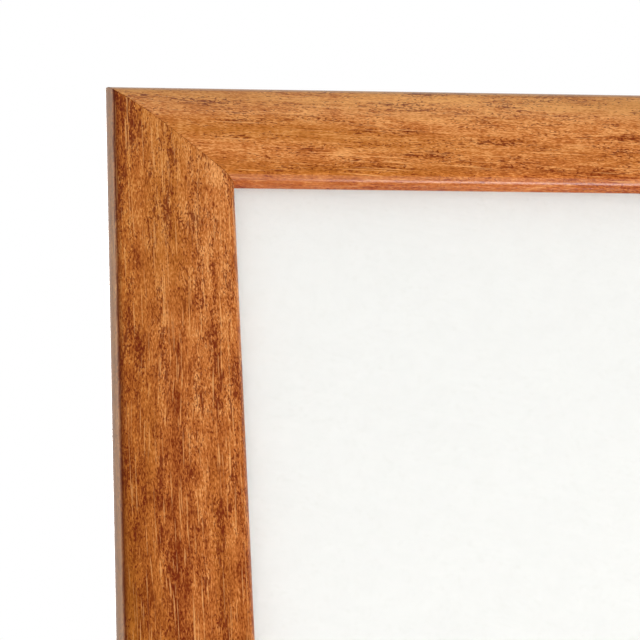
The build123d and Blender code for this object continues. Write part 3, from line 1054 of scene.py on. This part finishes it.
# The pin: a wire with a low domed head at each end
pinShape = {
    "radius": 1.0,
    "span": 44.1,
    "headRadius": 1.6,
    "rim": 0.2,
    "headLength": 0.7,
    "steps": 28,
    "domeSteps": 6,
}


def pinMesh(shape):
    far = shape["span"] / 2
    rim = far + shape["rim"]
    half = [(shape["radius"], far), (shape["headRadius"], far)]
    half += domePoints(shape["headRadius"], rim, far + shape["headLength"], shape["domeSteps"])
    pin = bmesh.new()
    addTurned(pin, [(radius, -height) for radius, height in half[::-1]] + half, shape["steps"])
    return pin


pinPlace = placing(Vector((0, 1, 0)), Vector((0, 0, 1)), Vector((1, 0, 0)), pinMiddle)
hingePin = meshObject("hingePin", pinMesh(pinShape), pinPlace, zinc)
settle(hingePin, "frame", "zinc_plated_steel", "easel_hinge_pin")

# Rivets: a low domed head outside and a flat clinched tail, whose grip is what they hold together
rivetShape = {
    "radius": 1.4,
    "headRadius": 3.0,
    "rim": 0.2,
    "headHeight": 1.0,
    "tailRadius": 2.3,
    "tailHeight": 0.7,
    "tailEase": 0.12,
    "steps": 28,
    "domeSteps": 6,
}


def rivetMesh(shape, leaf, seat, grip):
    tail = -grip - shape["tailHeight"]
    ease = shape["tailEase"]
    points = [(0, tail), (shape["tailRadius"] - ease, tail), (shape["tailRadius"], tail + ease)]
    points += [(shape["tailRadius"], -grip), (shape["radius"], -grip)]
    points += [(shape["radius"], 0), (shape["headRadius"], 0)]
    points += domePoints(shape["headRadius"], shape["rim"], shape["headHeight"], shape["domeSteps"])
    height = pinMiddle.z / mm + leaf["up"] * hingeShape["rivetSetback"]
    rivets = bmesh.new()
    for end in (-1, 1):
        place = backPlace(end * leaf["rivets"], seat, height, Vector((1, 0, 0)))
        addTurned(rivets, points, shape["steps"], place)
    return rivets


boardLow, boardHigh = [corner.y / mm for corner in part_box("backing_board")]
strutLow, strutHigh = [corner.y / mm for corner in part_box("easel_strut")]
seats = {"fixed": boardHigh + hingeShape["gauge"], "moving": strutHigh}
grips = {
    "fixed": boardHigh - boardLow + hingeShape["gauge"] - rivetShape["tailHeight"],
    "moving": strutHigh - strutLow + hingeShape["gauge"],
}
for name, leaf in hingeLeaves.items():
    shape = rivetMesh(rivetShape, leaf, seats[name], grips[name])
    piece = meshObject(f"{name}LeafRivets", shape, Matrix(), zinc)
    settle(piece, leaf["body"], "zinc_plated_steel", f"{name}_leaf_rivets")
print("hardware made")

# CAD nodes whose shape stays take their materials here
carried = {
    "glass_pane": glass,
    "certificate_sheet": paper,
    "foam_filler": foam,
    "backing_board": hardboard,
    "easel_strut": hardboard,
    "corner_v_nails": zinc,
}
for name, material in carried.items():
    nodes[name].data.materials.clear()
    nodes[name].data.materials.append(material)
print("carried-over nodes finished")

# The studio: a pale floor seen only from above, white behind and dimmer in front, and soft lamps. The floor
# is measured in millimetres, and its fade and the lamps in metres
studio = {
    "floorSize": 6000,
    "floorDrop": 0.2,
    "floorColour": "#f4f3f1",
    "floorShaded": 0.98,
    "floorCloud": {"size": (300, 300, 300), "detail": 2.0},
    "floorStops": (0.3, 0.7),
    "floorGlow": 0.48,
    "floorFade": (0.5, 2.2),
    "ambient": 0.49,
    "frontMirrored": 0.08,
    "frontToBack": (-0.1, 0.3),
    "lamps": {
        "keySoftbox": {
            "at": (0.515, -0.5, -0.86),
            "to": (0.515, 0.0, 0.23),
            "size": (1.0, 0.36),
            "watts": 16.5,
        },
        "frontFill": {
            "at": (0.2, -1.05, -0.62),
            "to": (0.2, 0.0, 0.2),
            "size": (1.2, 1.0),
            "watts": 8.0,
        },
        "topSoftbox": {
            "at": (-0.05, -0.25, 0.85),
            "to": (-0.05, 0.0, 0.24),
            "size": (0.9, 0.4),
            "watts": 0.8,
        },
        "backSoftbox": {
            "at": (-0.3, 1.1, 0.9),
            "to": (0.0, 0.0, 0.1),
            "size": (0.9, 0.7),
            "watts": 8.0,
        },
    },
}


def makeFloor(look):
    material, tree = newMaterial("seamlessPaperRoll")
    own = addNode(tree, "ShaderNodeTexCoord").outputs["Object"]
    cloud = layPatterns(tree, own, {"cloud": look["floorCloud"]})["cloud"]
    pale = linear(look["floorColour"])
    shaded = [look["floorShaded"] * channel for channel in pale]
    colour = ramp(tree, cloud, list(zip(look["floorStops"], (shaded, pale))))
    matt = addNode(tree, "ShaderNodeBsdfDiffuse", None, {"Color": colour}).outputs[0]
    path = addNode(tree, "ShaderNodeLightPath").outputs
    glow = calc(tree, "MULTIPLY", path["Is Camera Ray"], look["floorGlow"])
    lit = addNode(tree, "ShaderNodeEmission", None, {"Color": pale, "Strength": glow}).outputs[0]
    paperTop = addNode(tree, "ShaderNodeAddShader", None, {0: matt, 1: lit}).outputs[0]
    clear = addNode(tree, "ShaderNodeBsdfTransparent").outputs[0]
    # far off it runs out into the white behind, and it isn't there from below, nor for the light of the
    # low lamps, straight or mirrored
    away = calcVector(tree, "LENGTH", own)
    faded = remap(tree, away, *look["floorFade"], 0.0, path["Is Camera Ray"])
    through = addNode(tree, "ShaderNodeNewGeometry").outputs["Backfacing"]
    for reason in (faded, path["Is Shadow Ray"], path["Is Glossy Ray"]):
        through = calc(tree, "MAXIMUM", through, reason)
    setSurface(tree, mixShaders(tree, through, paperTop, clear))
    half = look["floorSize"] / 2
    corners = ((-half, -half), (half, -half), (half, half), (-half, half))
    shape = bmesh.new()
    shape.faces.new([shape.verts.new((x, y, 0)) for x, y in corners])
    floor = meshObject("studioFloor", shape, Matrix.Translation((0, 0, -look["floorDrop"] * mm)), material)


def lightStudio(look):
    for name, lamp in look["lamps"].items():
        light = bpy.data.lights.new(name, "AREA")
        light.shape = "RECTANGLE"
        light.size, light.size_y = lamp["size"]
        light.energy = lamp["watts"]
        holder = bpy.data.objects.new(name, light)
        bpy.context.scene.collection.objects.link(holder)
        holder.location = lamp["at"]
        aim = Vector(lamp["to"]) - Vector(lamp["at"])
        holder.rotation_euler = aim.to_track_quat("-Z", "Y").to_euler()
    world = bpy.data.worlds.new("studioWhite")
    bpy.context.scene.world = world
    world.use_nodes = True
    tree = world.node_tree
    tree.nodes.clear()
    path = addNode(tree, "ShaderNodeLightPath").outputs
    # mirrored rays find white behind the object and a dim room in front of it
    towards = addNode(tree, "ShaderNodeTexCoord").outputs["Generated"]
    depth = addNode(tree, "ShaderNodeSeparateXYZ", None, {0: towards}).outputs["Y"]
    room = remap(tree, depth, *look["frontToBack"], look["frontMirrored"], 1.0)
    mirrored = mixValues(tree, path["Is Glossy Ray"], look["ambient"], room)
    direct = calc(tree, "MAXIMUM", path["Is Camera Ray"], path["Is Transmission Ray"])
    strength = mixValues(tree, direct, mirrored, 1.0)
    white = {"Color": (1, 1, 1, 1), "Strength": strength}
    sky = addNode(tree, "ShaderNodeBackground", None, white)
    addNode(tree, "ShaderNodeOutputWorld", None, {"Surface": sky.outputs[0]})


makeFloor(studio)
lightStudio(studio)
bpy.context.scene.view_settings.view_transform = "Standard"
print("studio lit")

# The camera looks up at the upper left corner through a long lens, from below and to the left
cameraView = {
    "at": (-0.1871, -0.5651, -0.2124),
    "right": Vector((0.99513, -0.08482, -0.0502)),
    "ahead": Vector((0.09811, 0.80354, 0.58711)),
    "lens": 200.6,
    "sensor": 36.0,
    "clipStart": 0.01,
}
camera = bpy.data.objects.new("camera", bpy.data.cameras.new("camera"))
bpy.context.scene.collection.objects.link(camera)
camera.data.lens = cameraView["lens"]
camera.data.sensor_width = cameraView["sensor"]
camera.data.clip_start = cameraView["clipStart"]
camera.matrix_world = placing(
    cameraView["right"],
    cameraView["right"].cross(cameraView["ahead"]),
    -cameraView["ahead"],
    Vector(cameraView["at"]),
)
bpy.context.scene.camera = camera
print("camera placed")
